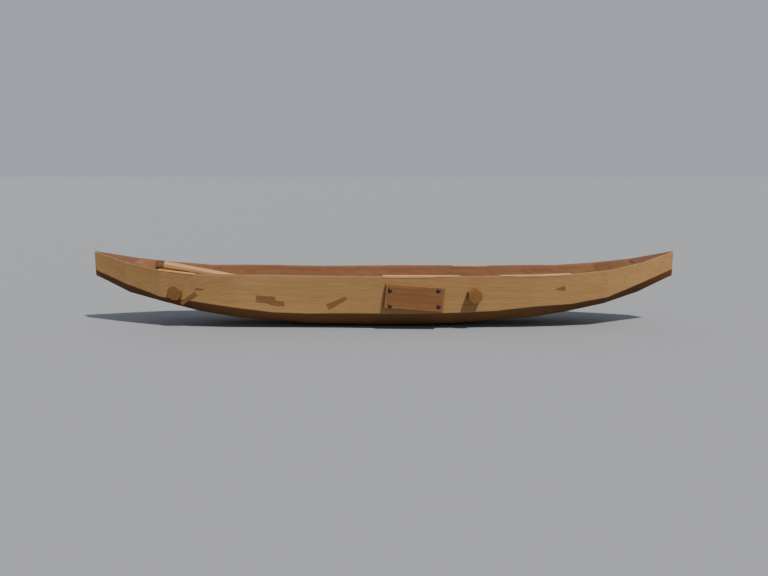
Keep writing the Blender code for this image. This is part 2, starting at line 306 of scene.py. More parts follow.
def woodMaterial(name, ownLook):
    look = {**woodCommon, **ownLook}
    colour = look["colour"]
    material, tree, shader = newMaterial(name)
    space, masks = woodMasks(tree, look)
    blotch = ease(streaks(space, "pieceBlotches"), *marks["blotchFade"])
    base = mixColour(blotch, *[rgba(colour, tone) for tone in look["blotchTones"]])
    shades = [rgba(colour, look[key]) for key in ("ringShade", "fibreShade", "crackShade")]
    finishWood(tree, shader, look, masks, base, *shades)
    return material


# Mesh helpers

formCommon = {"softenAngle": 20.0, "wearAngle": 20.0, "softenSegments": 2, "softenProfile": 0.6}
worldAxes = [row.copy() for row in Matrix.Identity(3)]


def addObject(name, data):
    obj = bpy.data.objects.new(name, data)
    bpy.context.scene.collection.objects.link(obj)
    return obj


def addMesh(name, points, faces):
    mesh = bpy.data.meshes.new(name)
    mesh.from_pydata([tuple(point) for point in points], [], faces)
    return addObject(name, mesh)


def faceOutwards(obj):
    form = bmesh.new()
    form.from_mesh(obj.data)
    bmesh.ops.recalc_face_normals(form, faces=form.faces)
    form.to_mesh(obj.data)
    form.free()


def store(obj, **layers):
    # named attributes, with one number or one vector for each point
    for name, values in layers.items():
        values = np.asarray(values, np.float32)
        isVector = values.size == 3 * len(obj.data.vertices)
        layer = obj.data.attributes.new(name, "FLOAT_VECTOR" if isVector else "FLOAT", "POINT")
        layer.data.foreach_set("vector" if isVector else "value", values.ravel())


def vectorsOf(items, field):
    flat = np.empty(len(items) * 3, np.float32)
    items.foreach_get(field, flat)
    return flat.reshape(-1, 3).astype(float)


def pointsOf(mesh):
    return vectorsOf(mesh.vertices, "co")


def normalsOf(mesh):
    return vectorsOf(mesh.vertex_normals, "vector")


def movePoints(obj, points):
    obj.data.vertices.foreach_set("co", np.asarray(points, np.float32).ravel())
    obj.data.update()


def keep(obj, material, slot, *nodes):
    # a finished piece: smooth, with its material, standing for its CAD nodes
    obj.data.materials.clear()
    obj.data.materials.append(material)
    obj.data.shade_smooth()
    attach(obj, "root")
    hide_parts(*nodes)
    print("piece ready:", obj.name, len(obj.data.polygons), "faces")


def joinFlats(form):
    bmesh.ops.dissolve_limit(form, angle_limit=0.01, verts=form.verts, edges=form.edges)


def solidCopy(nodeName):
    # a CAD node's solid with its flat faces whole again
    form = bmesh.new()
    form.from_mesh(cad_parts[nodeName].data)
    bmesh.ops.remove_doubles(form, verts=form.verts, dist=1e-5)
    joinFlats(form)
    return form


def wholeBlock(nodeName):
    # a convex CAD solid without the holes bored in it
    form = solidCopy(nodeName)
    result = bmesh.ops.convex_hull(form, input=form.verts, use_existing_faces=False)
    spare = {item for item in result["geom_interior"] + result["geom_unused"]
             if isinstance(item, bmesh.types.BMVert)}
    bmesh.ops.delete(form, geom=list(spare), context="VERTS")
    outer = {face for face in result["geom"] if isinstance(face, bmesh.types.BMFace) and face.is_valid}
    bmesh.ops.delete(form, geom=[face for face in form.faces if face not in outer], context="FACES_ONLY")
    joinFlats(form)
    return form


def sharpEdges(form, minAngle):
    return [edge for edge in form.edges
            if len(edge.link_faces) == 2 and edge.calc_face_angle(0.0) > math.radians(minAngle)]


def extent(verts, centre, axis):
    # how far the vertices reach along an axis, from the lowest to the highest
    reach = [(vert.co - centre).dot(axis) for vert in verts]
    return min(reach), max(reach)


def sliceForm(form, centre, axes, spacing):
    # cuts the form by planes across each axis, so that its flat faces can take a worked surface
    for axis in axes:
        low, high = extent(form.verts, centre, axis)
        steps = max(1, int((high - low) / spacing))
        for k in range(1, steps):
            geometry = form.verts[:] + form.edges[:] + form.faces[:]
            spot = centre + axis * (low + (high - low) * k / steps)
            bmesh.ops.bisect_plane(form, geom=geometry, plane_co=spot, plane_no=axis)


def storeEdge(obj, lines, reach):
    # 1 on the lines that were sharp edges, fading over the reach
    points = pointsOf(obj.data)
    nearest = np.full(len(points), 1.0)
    for start, end in lines:
        start, run = np.array(start), np.array(end - start)
        share = np.clip((points - start) @ run / max(run @ run, 1e-12), 0.0, 1.0)
        nearest = np.minimum(nearest, np.linalg.norm(points - start - share[:, None] * run, axis=1))
    store(obj, edge=np.exp(-nearest / reach))


def finishForm(name, form, ownSettings, centre, axes):
    # makes a form a piece: its sharp edges softened and marked for wear, its faces sliced
    settings = {**formCommon, **ownSettings}
    lines = [[vert.co.copy() for vert in edge.verts] for edge in sharpEdges(form, settings["wearAngle"])]
    bmesh.ops.bevel(form, geom=sharpEdges(form, settings["softenAngle"]), offset=settings["soften"],
                    segments=settings["softenSegments"], profile=settings["softenProfile"], affect="EDGES",
                    clamp_overlap=True)
    sliceForm(form, centre, axes, settings["spacing"])
    mesh = bpy.data.meshes.new(name)
    form.to_mesh(mesh)
    form.free()
    obj = addObject(name, mesh)
    faceOutwards(obj)
    storeEdge(obj, lines, settings["wearReach"])
    return obj


def roughen(obj, settings, seed, along=(1.0, 0.0, 0.0), slowness=0.25):
    # takes off a little wood, at most the rough depth, in marks drawn out along the grain
    points = pointsOf(obj.data)
    axis = np.array(along, float)
    shifted = points - np.outer(points @ axis * (1.0 - slowness), axis)
    start = Vector((seed, 0.0, 0.0))
    off = np.array([0.5 + 0.5 * noise.fractal(Vector(p) * settings["roughScale"] + start, 1.0, 2.0, 3)
                    for p in shifted])
    depth = np.clip(off, 0.0, 1.0) * settings["roughDepth"]
    movePoints(obj, points - normalsOf(obj.data) * depth[:, None])


def wrapped(angle, turn=2 * math.pi):
    # the same angle within half a turn of nought
    return (angle + turn / 2) % turn - turn / 2


def turnedFaces(rings, sides):
    # quads between rings of points, and a fan at each end from the first and the last point
    faces = []
    last = 1 + rings * sides
    for k in range(sides):
        j = (k + 1) % sides
        faces.append((0, 1 + k, 1 + j))
        for a in range(1, last - sides, sides):
            faces.append((a + k, a + j, a + sides + j, a + sides + k))
        faces.append((last - sides + j, last - sides + k, last))
    return faces


def newGeometryTree(name, kinds):
    # a geometry tree with named inputs, and their identifiers for the modifier
    tree = bpy.data.node_groups.new(name, "GeometryNodeTree")
    sockets = {}
    for label, kind in kinds.items():
        socket = tree.interface.new_socket(label, in_out="INPUT", socket_type="NodeSocket" + kind)
        sockets[label] = socket.identifier
    tree.interface.new_socket("Geometry", in_out="OUTPUT", socket_type="NodeSocketGeometry")
    return tree, sockets, tree.nodes.new("NodeGroupInput").outputs


def endGeometryTree(tree, geometry, finish):
    real = place("GeometryNodeRealizeInstances", {0: geometry})[0]
    finished = place("GeometryNodeSetMaterial", {"Geometry": real, "Material": finish})[0]
    feed(tree.nodes.new("NodeGroupOutput").inputs[0], finished)


def applyNodes(obj, tree, sockets, values):
    # runs a geometry tree on the object and keeps the result as its plain mesh
    modifier = obj.modifiers.new(tree.name, "NODES")
    modifier.node_group = tree
    for label, value in values.items():
        modifier[sockets[label]] = value
    result = obj.evaluated_get(bpy.context.evaluated_depsgraph_get())
    mesh = bpy.data.meshes.new_from_object(result)
    obj.modifiers.remove(modifier)
    obj.data = mesh


# The carved log

hull = {
    "step": 5.0 / 16, "endStation": 8, "fullStation": 6, "columnsPerStep": 20,
    "chineShare": 0.92, "bilgeShare": 0.56, "flatShare": 0.25, "chineExtra": 0.020, "innerChineLift": 0.020,
    "floorWall": 0.060, "floorDish": 0.012, "bilgeWallShare": 0.75,
    "hollowEnd": 2.155, "endStep": 0.003, "endHalfBeam": 0.095, "sternDepth": 0.003, "bowDepth": 0.010,
    "endShares": [1.0, 0.9, 0.7, 0.4, 0.0], "endDrops": [0.0, 0.6, 0.9, 1.0, 1.0],
    "stemRound": 0.003, "stemAngles": (0, 30, 60), "wearReach": 0.010, "hewnGap": 0.006, "hewnFade": 0.03,
    "cutLength": 0.105, "cutWidth": 0.052, "cutRandomness": 0.8, "cutReach": 0.5, "driftScale": 0.35,
    "outsideDepth": 0.0005, "insideDepth": 0.0022, "insideFade": (0.02, 0.08),
    # columns: station, half-beam, sheer, chine, bilge, keel, wall at the rim
    "sections": np.array([
        (-8, 0.016, 0.622, 0.464, 0.415, 0.412, 0.016),
        (-7, 0.170, 0.546, 0.356, 0.278, 0.272, 0.065),
        (-6, 0.290, 0.496, 0.264, 0.205, 0.194, 0.052),
        (-5, 0.340, 0.465, 0.228, 0.129, 0.116, 0.045),
        (-4, 0.366, 0.463, 0.185, 0.079, 0.065, 0.042),
        (-3, 0.352, 0.461, 0.143, 0.051, 0.035, 0.038),
        (-2, 0.352, 0.454, 0.131, 0.023, 0.007, 0.038),
        (-1, 0.364, 0.454, 0.135, 0.020, 0.000, 0.038),
        (0, 0.390, 0.454, 0.138, 0.020, 0.000, 0.038),
        (1, 0.385, 0.456, 0.137, 0.021, 0.000, 0.038),
        (2, 0.376, 0.455, 0.143, 0.031, 0.015, 0.038),
        (3, 0.358, 0.455, 0.155, 0.055, 0.039, 0.038),
        (4, 0.361, 0.460, 0.192, 0.077, 0.063, 0.042),
        (5, 0.325, 0.465, 0.208, 0.127, 0.114, 0.045),
        (6, 0.284, 0.490, 0.259, 0.190, 0.180, 0.052),
        (7, 0.163, 0.541, 0.364, 0.282, 0.276, 0.065),
        (8, 0.016, 0.622, 0.470, 0.415, 0.411, 0.016),
    ]),
    # half a section, from the keel up and over to the hollow's floor: its corners' rounding, its runs' rows
    "rounding": [0.010, 0.010, 0.004, 0.005, 0.005, 0.014, 0.030, 0.030],
    "rows": [5, 12, 14, 28, 5, 26, 11, 10, 5],
    "arcSteps": 4, "trimShare": 0.45, "chineCorner": 3, "rimCorner": 4, "hollowCorner": 5,
    "look": {
        "outside": (0.365, 0.206, 0.079), "rim": (0.150, 0.062, 0.027),
        "inside": (0.234, 0.105, 0.048), "insideBow": (0.275, 0.135, 0.060), "bowRange": (1.1, 2.0),
        "bottom": (0.175, 0.080, 0.025), "shadedBottomEnds": (0.118, 0.048, 0.016), "endRange": (1.1, 1.9),
        "grainTint": (0.60, 0.56, 0.52), "worn": (0.42, 0.28, 0.15), "dustColour": (0.30, 0.25, 0.19),
        "chineFade": (-0.0015, 0.0015), "rimFade": (-0.001, 0.003), "hollowFade": (-0.002, 0.003),
        "raggedness": 0.010, "blotchTone": 0.10,
        "pith": (0.0, 0.56), "ringSpacing": 0.016, "ringWobble": 0.06, "ringTone": 0.16,
        "fibreScale": 0.8, "fibreTone": 0.32, "fibreRange": (0.36, 0.60), "fibreRough": 0.14,
        "checks": 0.5, "checkLength": 0.28, "checkSpread": 0.12, "checkWidth": 0.0016,
        "crackShare": 0.8, "crackShade": 0.5, "wornShare": 0.12, "wearPolish": 0.12,
        "dust": 0.6, "dustRough": 0.1, "roughness": 0.66, "bump": 0.55, "bumpDistance": 0.0008,
    },
}


def hullSection(x):
    table = hull["sections"]
    return [float(np.interp(x / hull["step"], table[:, 0], table[:, i])) for i in range(1, 7)]


def hollowCorners(x):
    # half of the hollow's section, from the inner edge of the rim down to the middle of its floor
    beam, sheer, chine, bilge, keel, wall = hullSection(x)
    full = hull["fullStation"] * hull["step"]
    end = hull["hollowEnd"]
    if abs(x) <= full:
        floor = keel + hull["floorWall"] + hull["floorDish"]
        return [(beam - wall, sheer),
                (beam * hull["chineShare"] - wall - hull["chineExtra"], chine + hull["innerChineLift"]),
                (beam * hull["bilgeShare"] - hull["bilgeWallShare"] * wall, bilge + hull["floorWall"]),
                (beam * hull["flatShare"], floor), (0.0, floor)]
    if abs(x) > end:  # the solid end: the same rows lie flat in its deck
        wide = hull["endHalfBeam"] * beam / hullSection(math.copysign(end, x))[0]
        return [(wide * share, sheer) for share in hull["endShares"]]
    last = hullSection(math.copysign(end, x))[1]
    depth = hull["bowDepth"] if x > 0 else hull["sternDepth"]
    small = [(hull["endHalfBeam"] * share, last - depth * drop)
             for share, drop in zip(hull["endShares"], hull["endDrops"])]
    blend = (abs(x) - full) / (end - full)
    start = hollowCorners(math.copysign(full, x))
    return [(a[0] + (b[0] - a[0]) * blend, a[1] + (b[1] - a[1]) * blend) for a, b in zip(start, small)]


def roundedRun(corners):
    # the points of a walk along the corners, with each one rounded
    arcSteps = hull["arcSteps"]
    corners = [np.array(corner, float) for corner in corners]
    gaps = [max(float(np.linalg.norm(b - a)), 1e-9) for a, b in zip(corners, corners[1:])]
    limits = [hull["trimShare"] * min(pair) for pair in zip(gaps, gaps[1:])]
    trims = [0.0, *map(min, hull["rounding"], limits), 0.0]
    points = [corners[0]]
    for i, count in enumerate(hull["rows"]):
        direction = (corners[i + 1] - corners[i]) / gaps[i]
        start = corners[i] + direction * trims[i]
        stop = corners[i + 1] - direction * trims[i + 1]
        for k in range(1, count + 1):
            points.append(start + (stop - start) * k / count)
        if i == len(limits):
            break
        onward = (corners[i + 2] - corners[i + 1]) / gaps[i + 1]
        leave = corners[i + 1] + onward * trims[i + 1]
        for k in range(1, arcSteps + 1):
            t = k / arcSteps
            points.append((1 - t) ** 2 * stop + 2 * t * (1 - t) * corners[i + 1] + t * t * leave)
    return points


def halfRing(x):
    beam, sheer, chine, bilge, keel, _ = hullSection(x)
    outside = [(0.0, keel), (beam * hull["flatShare"], keel), (beam * hull["bilgeShare"], bilge),
               (beam * hull["chineShare"], chine), (beam, sheer)]
    return roundedRun(outside + hollowCorners(x))


def rowOfCorner(number):
    # the row that lies in the middle of a corner's rounding
    return sum(hull["rows"][:number]) + hull["arcSteps"] * (number - 1) + hull["arcSteps"] // 2


def makeAdzeTree():
    # shallow scoops, longer along the grain, cut into the surface and never out of it
    tree, sockets, given = newGeometryTree("adzeCuts", {
        "Geometry": "Geometry", "Cut Length": "Float", "Cut Width": "Float", "Outside Depth": "Float",
        "Inside Depth": "Float", "Finish": "Material"})

    def stored(name, kind="FLOAT"):
        return place("GeometryNodeInputNamedAttribute", {"Name": name}, tree, data_type=kind)[0]

    parts = split(stored("unrolled", "FLOAT_VECTOR"))
    along = calc("DIVIDE", parts[0], given["Cut Length"])
    across = calc("DIVIDE", parts[1], given["Cut Width"])
    drift = cloud(combine(along, across), hull["driftScale"])
    spot = combine(total(along, drift), across)
    pattern = {"Vector": spot, "Scale": 1.0, "Randomness": hull["cutRandomness"]}
    cells = place("ShaderNodeTexVoronoi", pattern, voronoi_dimensions="2D")["Distance"]
    scoop = ease(product(cells, cells), 0.0, hull["cutReach"], 1.0, 0.0)
    inside = ease(stored("rimGap"), *hull["insideFade"])
    outside = calc("SUBTRACT", 1.0, inside)
    depth = total(product(given["Inside Depth"], inside), product(given["Outside Depth"], outside))
    amount = product(scoop, depth, stored("hewn"))
    normal = place("GeometryNodeInputNormal", tree=tree)[0]
    offset = resize(normal, product(amount, -1.0))
    moved = place("GeometryNodeSetPosition", {"Geometry": given["Geometry"], "Offset": offset})[0]
    endGeometryTree(tree, moved, given["Finish"])
    return tree, sockets


def hullMaterial():
    look = {**woodCommon, **hull["look"]}
    material, tree, shader = newMaterial("carvedLog")
    space, masks = woodMasks(tree, look)
    ragged = product(calc("SUBTRACT", streaks(space, "raggedLines"), 0.5), look["raggedness"])

    def past(name, *span):
        # changes from one side of a corner of the hull to the other, a little raggedly
        return ease(total(attribute(tree, name), ragged), *span)

    below = past("chineGap", *look["chineFade"], 1.0, 0.0)
    within = past("rimGap", *look["rimFade"])
    hollow = past("hollowGap", *look["hollowFade"])
    masks["dustFilm"] = product(masks["dust"], hollow)
    forward = split(space)[0]
    inside = mixColour(ease(forward, *look["bowRange"]), rgba(look["inside"]), rgba(look["insideBow"]))
    # painted shade: the bottom's colour darkens towards both ends
    ends = ease(calc("ABSOLUTE", forward), *look["endRange"])
    bottom = mixColour(ends, rgba(look["bottom"]), rgba(look["shadedBottomEnds"]))
    base = mixColour(hollow, rgba(look["rim"]), inside)
    base = mixColour(within, rgba(look["outside"]), base)
    base = mixColour(below, base, bottom)
    blotch = ease(streaks(space, "hullBlotches"), *marks["blotchFade"], look["blotchTone"], 0.0)
    base = mixColour(blotch, base, (0.0, 0.0, 0.0, 1.0))
    darker = mixColour(1.0, base, rgba(look["grainTint"]), "MULTIPLY")
    finishWood(tree, shader, look, masks, base, darker, darker, rgba(look["bottom"], look["crackShade"]))
    return material


def hullPlaces():
    # where the columns are: evenly spaced, and closer on the stems' rounding and at the hollow's ends
    per = hull["columnsPerStep"]
    last = hull["endStation"]
    places = {k * hull["step"] / per for k in range(-last * per, last * per + 1)}
    for side in (-1, 1):
        for gap in (-hull["endStep"], hull["endStep"]):
            places.add(side * (hull["hollowEnd"] + gap))
        for angle in hull["stemAngles"]:
            inset = hull["stemRound"] * (1 - math.sin(math.radians(angle)))
            places.add(side * (last * hull["step"] - inset))
    return np.array(sorted(places))


def hullHalves(places):
    # each column's half ring, from the keel up and over to the floor of the hollow: column, row, (y, z)
    bend = hull["stemRound"]
    halves = []
    for x in places:
        half = np.array(halfRing(x))
        near = (hull["endStation"] * hull["step"] - abs(x)) / bend
        if near < 1.0:  # the stem's upright edges are rounded off
            inset = bend * (1 - math.sqrt(max(0.0, 1 - (1 - near) ** 2)))
            half[:, 0] *= 1 - inset / hullSection(x)[0]
            low, high = half[:, 1].min(), half[:, 1].max()
            half[:, 1] = low + inset + (half[:, 1] - low) * (high - low - 2 * inset) / (high - low)
        halves.append(half)
    return np.array(halves)


def hullFaces(columns, count, rim):
    faces = []
    for c in range(columns - 1):
        for r in range(count):
            here = c * count + r
            onward = c * count + (r + 1) % count
            faces.append((here, onward, onward + count, here + count))
    for base in (0, (columns - 1) * count):  # the stems' faces, as rungs from side to side
        faces.append((base, base + 1, base + count - 1))
        for r in range(1, rim):
            faces.append((base + r, base + r + 1, base + count - r - 1, base + count - r))
        faces.append([base + r for r in range(rim, count - rim + 1)])
    return faces


def makeHull():
    places = hullPlaces()
    halves = hullHalves(places)
    columns, rows = halves.shape[:2]

    def bothSides(values):
        return np.concatenate([values, values[:, rows - 2:0:-1]], axis=1)

    steps = np.linalg.norm(np.diff(halves, axis=1), axis=2)
    walk = bothSides(np.concatenate([np.zeros((columns, 1)), np.cumsum(steps, axis=1)], axis=1))
    side = np.concatenate([np.ones(rows), -np.ones(rows - 2)])
    ring = np.empty((*walk.shape, 3))
    ring[:, :, 0] = places[:, None]
    ring[:, :, 1:] = bothSides(halves)
    ring[:, :, 1] *= side
    unrolled = np.zeros(ring.shape)  # the surface laid out flat, for the adze cuts
    unrolled[:, :, 0] = places[:, None]
    unrolled[:, :, 1] = walk * side
    corners = [rowOfCorner(hull[key]) for key in ("chineCorner", "rimCorner", "hollowCorner")]
    obj = addMesh("carved_log", ring.reshape(-1, 3), hullFaces(columns, walk.shape[1], corners[1]))
    faceOutwards(obj)
    chineGap, rimGap, hollowGap = [walk - walk[:, [row]] for row in corners]
    hollowGap[np.abs(places) > hull["hollowEnd"]] = -1  # there is no hollow in the solid ends
    stemGap = hull["endStation"] * hull["step"] - np.abs(places)
    nearest = np.minimum(np.min(np.abs([chineGap, rimGap, hollowGap]), axis=0), stemGap[:, None])
    store(obj, grainSpace=ring, unrolled=unrolled, chineGap=chineGap, rimGap=rimGap, hollowGap=hollowGap,
          edge=np.exp(-nearest / hull["wearReach"]),
          hewn=np.clip((nearest - hull["hewnGap"]) / hull["hewnFade"], 0.0, 1.0))
    material = hullMaterial()
    applyNodes(obj, *makeAdzeTree(), {
        "Cut Length": hull["cutLength"], "Cut Width": hull["cutWidth"], "Outside Depth": hull["outsideDepth"],
        "Inside Depth": hull["insideDepth"], "Finish": material})
    keep(obj, material, "hull_wood", "hull")


makeHull()


# Pieces let into the log

def frontPlace(form):
    # the frame and size of the smallest box round a piece's front: Z out of the log, X the longer way
    front = min(form.faces, key=lambda face: face.calc_area() * face.normal.y)
    outwards = front.normal.normalized()
    centre = front.calc_center_median()

    def spread(axis):
        low, high = extent(front.verts, centre, axis)
        return high - low

    sides = [(edge.verts[1].co - edge.verts[0].co).normalized() for edge in front.edges]
    along = min(sides, key=lambda axis: round(spread(axis) * spread(outwards.cross(axis)), 7))
    if spread(along) < spread(outwards.cross(along)):
        along = outwards.cross(along)
    if along.x < 0:
        along = -along
    up = outwards.cross(along)
    middle = centre.copy()
    for axis in (along, up):
        low, high = extent(front.verts, centre, axis)
        middle += (high + low) / 2 * axis
    turn = Matrix((along, up, outwards)).transposed().to_4x4()
    return Matrix.Translation(middle) @ turn, (spread(along), spread(up))


def finishLetIn(name, form, settings, grainAxes=(0, 1, 2)):
    # the piece, its points in the frame of its front, that frame and the front's size
    basis, size = frontPlace(form)
    obj = finishForm(name, form, settings, basis.translation, [Vector(basis.col[i][:3]) for i in (0, 1)])
    back = np.array(basis.inverted())
    local = pointsOf(obj.data) @ back[:3, :3].T + back[:3, 3]
    store(obj, grainSpace=local[:, list(grainAxes)])
    return obj, local, basis, size


def carveFront(obj, local, basis, frontDepth, depths):
    # takes the depths off a front, and less of them behind it until nothing at the front's depth
    share = np.clip(local[:, 2] / frontDepth + 1, 0.0, 1.0)
    movePoints(obj, pointsOf(obj.data) - np.array(basis.col[2][:3]) * (share * depths)[:, None])


patch = {
    "soften": 0.0016, "spacing": 0.008, "wearReach": 0.006, "frontDepth": 0.004, "cup": 0.0012,
    "ripple": 0.0007, "rippleLength": 0.021, "roughDepth": 0.0008, "roughScale": 22.0, "seed": 3.0,
    "look": {"colour": (0.196, 0.086, 0.030), "worn": (0.30, 0.16, 0.07), "pith": (0.0, -0.19),
             "ringSpacing": 0.011, "ringWobble": 0.03, "ringTone": 0.32, "fibreTone": 0.45,
             "checkLength": 0.10, "checkSpread": 0.12, "checkWidth": 0.0010, "dust": 0.3, "roughness": 0.60},
}


def makePatch():
    obj, local, basis, size = finishLetIn("repair_board", wholeBlock("repair_patch"), patch)
    across = local[:, 1] / (size[1] / 2)
    hollow = patch["cup"] * (1 - across ** 2)
    phase = local[:, 0] * 2 * math.pi / patch["rippleLength"] + 3 * across
    waves = patch["ripple"] * (0.5 + 0.5 * np.sin(phase))
    carveFront(obj, local, basis, patch["frontDepth"], hollow + waves)
    roughen(obj, patch, patch["seed"], basis.col[0][:3])
    keep(obj, woodMaterial("boardWood", patch["look"]), "dark_wood", "repair_patch")


makePatch()

stubs = {
    "nodes": ["knot_stub_1", "knot_stub_2"], "soften": 0.0008, "spacing": 0.006, "wearReach": 0.006,
    "frontDepth": 0.003, "crown": 0.0015, "crackTurns": (0.4, 2.3, 4.1, 5.2), "crackWidth": 0.003,
    "crackDepth": 0.0022, "crackReach": 0.03, "crackStart": 0.2, "roughDepth": 0.0010, "roughScale": 30.0,
    "seed": 5.0,
    "look": {"colour": (0.210, 0.096, 0.030), "worn": (0.23, 0.11, 0.04), "pith": (0.006, -0.004),
             "ringSpacing": 0.0065, "ringWobble": 0.012, "ringTone": 0.42, "checks": 0.7, "checkLength": 0.3,
             "checkSpread": 0.63, "checkWidth": 0.0007, "wear": 0.3, "dust": 0.0, "roughness": 0.64},
}


def makeStubs():
    material = woodMaterial("stubWood", stubs["look"])
    for number, nodeName in enumerate(stubs["nodes"], 1):
        obj, local, basis, _ = finishLetIn("branch_stub_%d" % number, solidCopy(nodeName), stubs, (2, 0, 1))
        angle = np.arctan2(local[:, 1], local[:, 0])
        reach = np.hypot(local[:, 0], local[:, 1])
        opening = np.clip(reach / stubs["crackReach"], stubs["crackStart"], 1.0)
        cracks = np.zeros(len(local))
        for turn in stubs["crackTurns"]:  # cracks that open from the pith outwards
            gap = np.abs(wrapped(angle - turn - number)) * reach
            cracks = np.maximum(cracks, np.exp(-(gap / stubs["crackWidth"]) ** 2) * opening)
        crown = stubs["crown"] * (reach / reach.max()) ** 2
        carveFront(obj, local, basis, stubs["frontDepth"], crown + stubs["crackDepth"] * cracks)
        roughen(obj, stubs, stubs["seed"] * number)
        keep(obj, material, "dark_wood", nodeName)


makeStubs()

wedges = {
    "nodes": ["crack_wedge_%d" % number for number in range(1, 6)],
    "soften": 0.0005, "spacing": 0.005, "wearReach": 0.003, "roughDepth": 0.0010, "roughScale": 45.0,
    "seed": 9.0,
    "look": {"colour": (0.200, 0.096, 0.034), "worn": (0.30, 0.18, 0.09), "pith": (0.0, -0.12),
             "fibreScale": 1.3, "fibreTone": 0.5, "checkLength": 0.05, "checkSpread": 0.09, "roughness": 0.66,
             "bump": 0.8},
}


def makeWedges():
    material = woodMaterial("wedgeWood", wedges["look"])
    for number, nodeName in enumerate(wedges["nodes"], 1):
        obj, _, basis, _ = finishLetIn("driven_wedge_%d" % number, solidCopy(nodeName), wedges)
        roughen(obj, wedges, wedges["seed"] + number, basis.col[0][:3])
        keep(obj, material, "dark_wood", nodeName)


makeWedges()

strips = {
    "nodes": ["rim_strip_%d" % number for number in range(1, 5)], "soften": 0.0010, "spacing": 0.009,
    "wearReach": 0.004, "wearAngle": 40.0, "roughDepth": 0.0005, "roughScale": 40.0, "seed": 20.0,
    "look": {"colour": (0.49, 0.257, 0.094), "worn": (0.60, 0.39, 0.20), "pith": (0.30, 0.25),
             "ringSpacing": 0.007, "ringTone": 0.25, "fibreScale": 1.2, "checks": 0.4, "checkLength": 0.08,
             "checkSpread": 0.02, "checkWidth": 0.0006, "roughness": 0.56, "bump": 0.6},
}


def makeStrips():
    material = woodMaterial("stripWood", strips["look"])
    for number, nodeName in enumerate(strips["nodes"], 1):
        low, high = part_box(nodeName)
        middle = (low + high) / 2
        obj = finishForm("rim_sliver_%d" % number, solidCopy(nodeName), strips, middle, worldAxes[:2])
        store(obj, grainSpace=pointsOf(obj.data))
        roughen(obj, strips, strips["seed"] + number)
        keep(obj, material, "pale_wood", nodeName)


makeStrips()

# Nails

nails = {
    "nodes": ["patch_nail_%d" % number for number in range(1, 5)], "widthShare": 0.97, "heightShare": 0.95,
    "sides": 30, "ringShares": [0.18, 0.34, 0.5, 0.64, 0.76, 0.87, 0.95, 1.0], "facets": 5,
    "facetSlope": 0.42, "crownHeight": 1.02, "crownShare": 0.12, "rimFall": 0.405, "dentDepth": 0.0005,
    "dentScale": 260.0, "tilt": 3.0, "seed": 11,
    "look": {"iron": (0.048, 0.047, 0.042), "scale": (0.019, 0.018, 0.016), "rust": (0.16, 0.06, 0.02),
             "patches": (140.0, 5.0, 0.6), "specks": (420.0, 3.0, 0.6), "speckRelief": 0.4,
             "rustFade": (0.52, 0.66), "rustShare": 0.5, "scaleFade": (0.4, 0.6),
             "metallic": (0.0, 0.3, 0.85, 0.1), "roughness": (0.3, 0.7, 0.42, 0.75),
             "bump": 0.6, "bumpDistance": 0.0005},
}


def circle(count):
    angles = [2 * math.pi * k / count for k in range(count)]
    return [(math.cos(angle), math.sin(angle)) for angle in angles]


def makeNailHead(radius, height):
    # one hammered head on the XY plane: facets struck round a small flat crown, with a thin rim
    sides = nails["sides"]
    points = [(0.0, 0.0, height)]
    for share in nails["ringShares"]:
        for across, up in circle(sides):
            x = share * radius * across
            y = share * radius * up
            lean = max(x * a + y * b for a, b in circle(nails["facets"]))
            top = height * nails["crownHeight"] - nails["rimFall"] * height * share ** 6
            top -= nails["facetSlope"] * max(0.0, lean - nails["crownShare"] * radius)
            top -= nails["dentDepth"] * noise.noise(Vector((x, y, 0.0)) * nails["dentScale"])
            points.append((x, y, min(height, top)))
    points += [(radius * across, radius * up, 0.0) for across, up in circle(sides)]
    points.append((0.0, 0.0, 0.0))
    obj = addMesh("nailHeadShape", points, turnedFaces(len(nails["ringShares"]) + 1, sides))
    faceOutwards(obj)
    obj.data.shade_smooth()
    return obj


def makeNailTree():
    # one nail head on each point, square to the board, each turned and tipped a little differently
    tree, sockets, given = newGeometryTree("drivenNails", {
        "Geometry": "Geometry", "Head": "Object", "Facing": "Vector", "Tilt": "Float", "Seed": "Int",
        "Finish": "Material"})
    shape = place("GeometryNodeObjectInfo", {"Object": given["Head"]})["Geometry"]
    square = place("FunctionNodeAlignRotationToVector", {"Vector": given["Facing"]}, axis="Z")[0]
    lean = product(given["Tilt"], math.radians(1.0))
    back = product(lean, -1.0)
    spin = place("FunctionNodeRandomValue", {
        0: combine(back, back), 1: combine(lean, lean, 2 * math.pi), "Seed": given["Seed"],
    }, data_type="FLOAT_VECTOR")[0]
    turn = place("FunctionNodeRotateRotation", {"Rotation": square, "Rotate By": spin},
                 rotation_space="LOCAL")[0]
    heads = place("GeometryNodeInstanceOnPoints", {
        "Points": given["Geometry"], "Instance": shape, "Rotation": turn})[0]
    endGeometryTree(tree, heads, given["Finish"])
    return tree, sockets


def ironMaterial():
    look = nails["look"]
    material, tree, shader = newMaterial("forgedIron")
    space = place("ShaderNodeTexCoord", tree=tree)["Object"]
    patches = cloud(space, *look["patches"])
    specks = cloud(space, *look["specks"])
    rusty = product(ease(patches, *look["rustFade"]), look["rustShare"])
    base = mixColour(ease(specks, *look["scaleFade"]), rgba(look["iron"]), rgba(look["scale"]))
    feed(shader["Base Color"], mixColour(rusty, base, rgba(look["rust"])))
    feed(shader["Metallic"], ease(rusty, *look["metallic"]))
    feed(shader["Roughness"], ease(patches, *look["roughness"]))
    height = total(patches, product(specks, look["speckRelief"]))
    feed(shader["Normal"], bump(height, look["bump"], look["bumpDistance"]))
    return material


